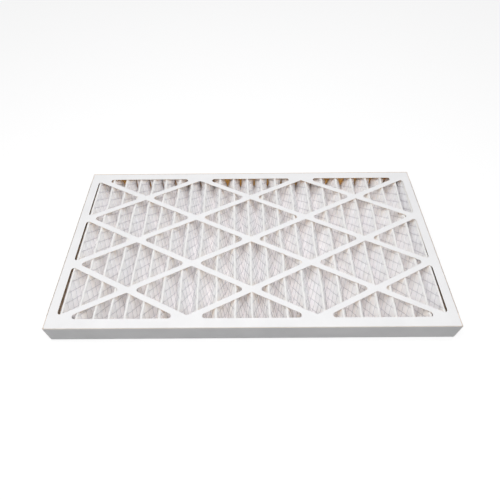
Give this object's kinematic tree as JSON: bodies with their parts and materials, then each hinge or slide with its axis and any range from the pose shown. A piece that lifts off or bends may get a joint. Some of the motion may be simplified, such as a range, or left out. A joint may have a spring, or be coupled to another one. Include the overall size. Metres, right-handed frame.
{
  "type": "pleated panel air filter",
  "caption": "Flat rectangular air filter: folded paperboard frame with a diamond lattice on both faces over one pleated sheet of media on a diamond support grid.",
  "frame": {"origin": "middle of the lower face, on the plane that the filter lies on", "axes": "+X along the long side, +Y across it and parallel to the pleats, +Z through the filter, from the lower face to the upper, air-leaving face"},
  "size_m": [0.7494, 0.3938, 0.0444],
  "materials": {
    "board": "white clay-coated paperboard, matt, brown kraft on its inner side and at its cut edges",
    "media": "off-white non-woven polyester and cotton fibre, soft and matt",
    "grid_strand": "thin slit and stretched steel strands, dull grey"
  },
  "bodies": {
    "root": {"lower_tray": "board", "upper_tray": "board", "filter_media": "media", "support_grid": "grid_strand"}
  },
  "joints": []
}
